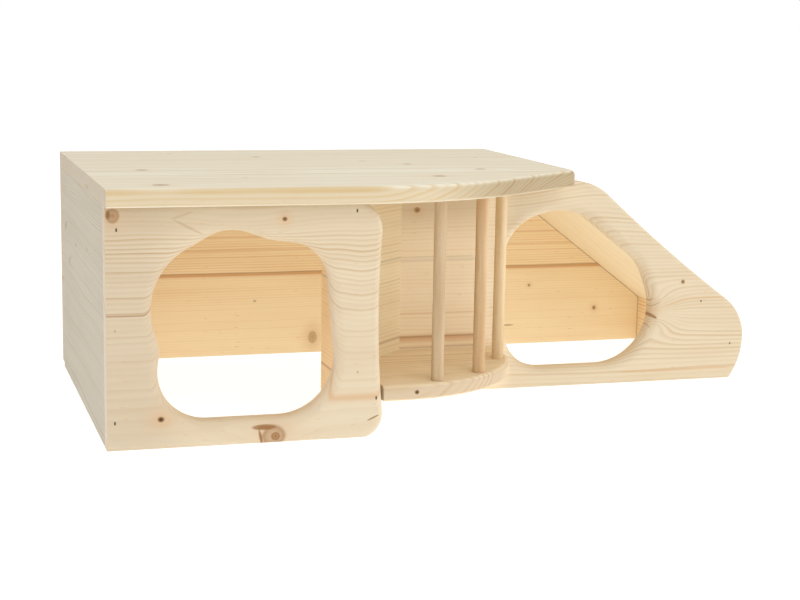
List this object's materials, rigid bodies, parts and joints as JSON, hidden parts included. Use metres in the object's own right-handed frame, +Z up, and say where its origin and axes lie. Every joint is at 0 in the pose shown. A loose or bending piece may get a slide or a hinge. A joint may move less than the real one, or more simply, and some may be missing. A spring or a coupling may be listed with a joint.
{
  "type": "rodent hideout",
  "caption": "Wooden rodent hideout: a flat-roofed house and a low house with a sloping roof, each with a hand-cut entrance, and between them an open hay rack with round bars.",
  "frame": {"origin": "on the ground under the middle of the object's bounding box", "axes": "+X along the front from the large house to the low house, +Y from the front to the back wall, +Z up"},
  "size_m": [0.61, 0.344, 0.2],
  "materials": {
    "spruce_board": "sanded, untreated",
    "beech_dowel": "smooth, untreated"
  },
  "bodies": {
    "root": {"left_end_wall": "spruce_board", "left_front_panel": "spruce_board", "right_front_panel": "spruce_board", "back_wall": "spruce_board", "roof_board": "spruce_board", "slope_board": "spruce_board", "right_end_wall": "spruce_board", "hay_rack_floor": "spruce_board", "hay_rack_cheek": "spruce_board", "hay_rack_diagonal_wall": "spruce_board", "hay_bar_left": "beech_dowel", "hay_bar_middle": "beech_dowel", "hay_bar_right": "beech_dowel"}
  },
  "joints": []
}
